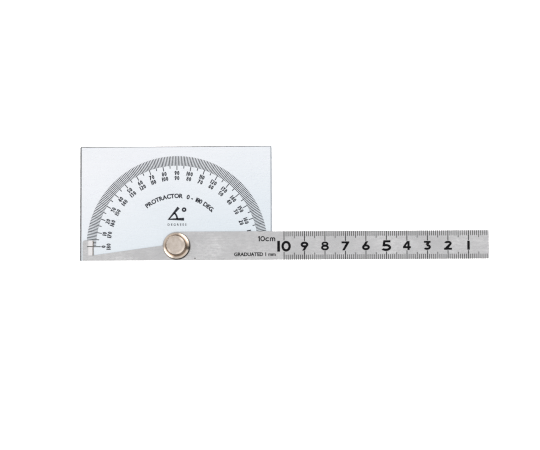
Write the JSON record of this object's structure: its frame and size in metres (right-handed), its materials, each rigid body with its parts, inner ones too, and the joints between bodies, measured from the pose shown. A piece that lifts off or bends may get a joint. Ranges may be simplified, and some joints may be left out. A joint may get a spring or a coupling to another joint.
{
  "type": "arm protractor",
  "caption": "Flat steel arm protractor: a rectangular head with a half-circle degree dial, a ruler arm that swings on a stud and reads the dial with a bevelled hook, and a round lock knob.",
  "frame": {"origin": "on the pivot axis, in the plane of the head plate's back face", "axes": "+X along the arm to the zero end of the ruler, +Y to the top of the dial, +Z out of the scale face"},
  "size_m": [0.2002, 0.0563, 0.0104],
  "materials": {
    "plate_steel": "silver satin, slightly cool",
    "arm_steel": "fine brushed, neutral grey",
    "stud_steel": "turned",
    "washer_steel": "black oxide",
    "spring_steel": "plain",
    "shim_brass": "plain sheet",
    "knob_nickel": "polished warm nickel plate with fine turning marks",
    "dial_ink": "matt black fill",
    "ruler_ink": "matt black fill"
  },
  "bodies": {
    "head": {"scale_plate": "plate_steel", "pivot_stud": "stud_steel", "arm_shim": "shim_brass", "keyed_washer": "washer_steel", "degree_lines_1": "dial_ink", "degree_lines_5": "dial_ink", "degree_lines_10": "dial_ink", "dial_numerals_outer": "dial_ink", "dial_numerals_inner": "dial_ink"},
    "arm": {"arm": "arm_steel", "arm_ticks_top": "ruler_ink", "arm_ticks_bottom": "ruler_ink", "arm_half_ticks": "ruler_ink", "arm_cm_lines": "ruler_ink", "arm_numerals": "ruler_ink", "unit_label": "ruler_ink", "index_line": "ruler_ink"},
    "lock_spring": {"spring_washer": "spring_steel"},
    "knob": {"lock_knob": "knob_nickel"}
  },
  "joints": [
    {"name": "arm_swing", "type": "hinge", "parent": "head", "child": "arm", "pos_m": [0, 0, 0.0017], "axis": [0, 0, -1], "continuous": true},
    {"name": "knob_lift", "type": "slide", "parent": "head", "child": "lock_spring", "axis": [0, 0, 1], "range_m": [0, 0.0008]},
    {"name": "knob_turn", "type": "hinge", "parent": "lock_spring", "child": "knob", "pos_m": [0, 0, 0.005], "axis": [0, 0, 1], "range_deg": [0, 360]}
  ],
  "couplings": [
    {"joint": "knob_turn", "follows": "knob_lift", "rad_per_m": 7854}
  ]
}
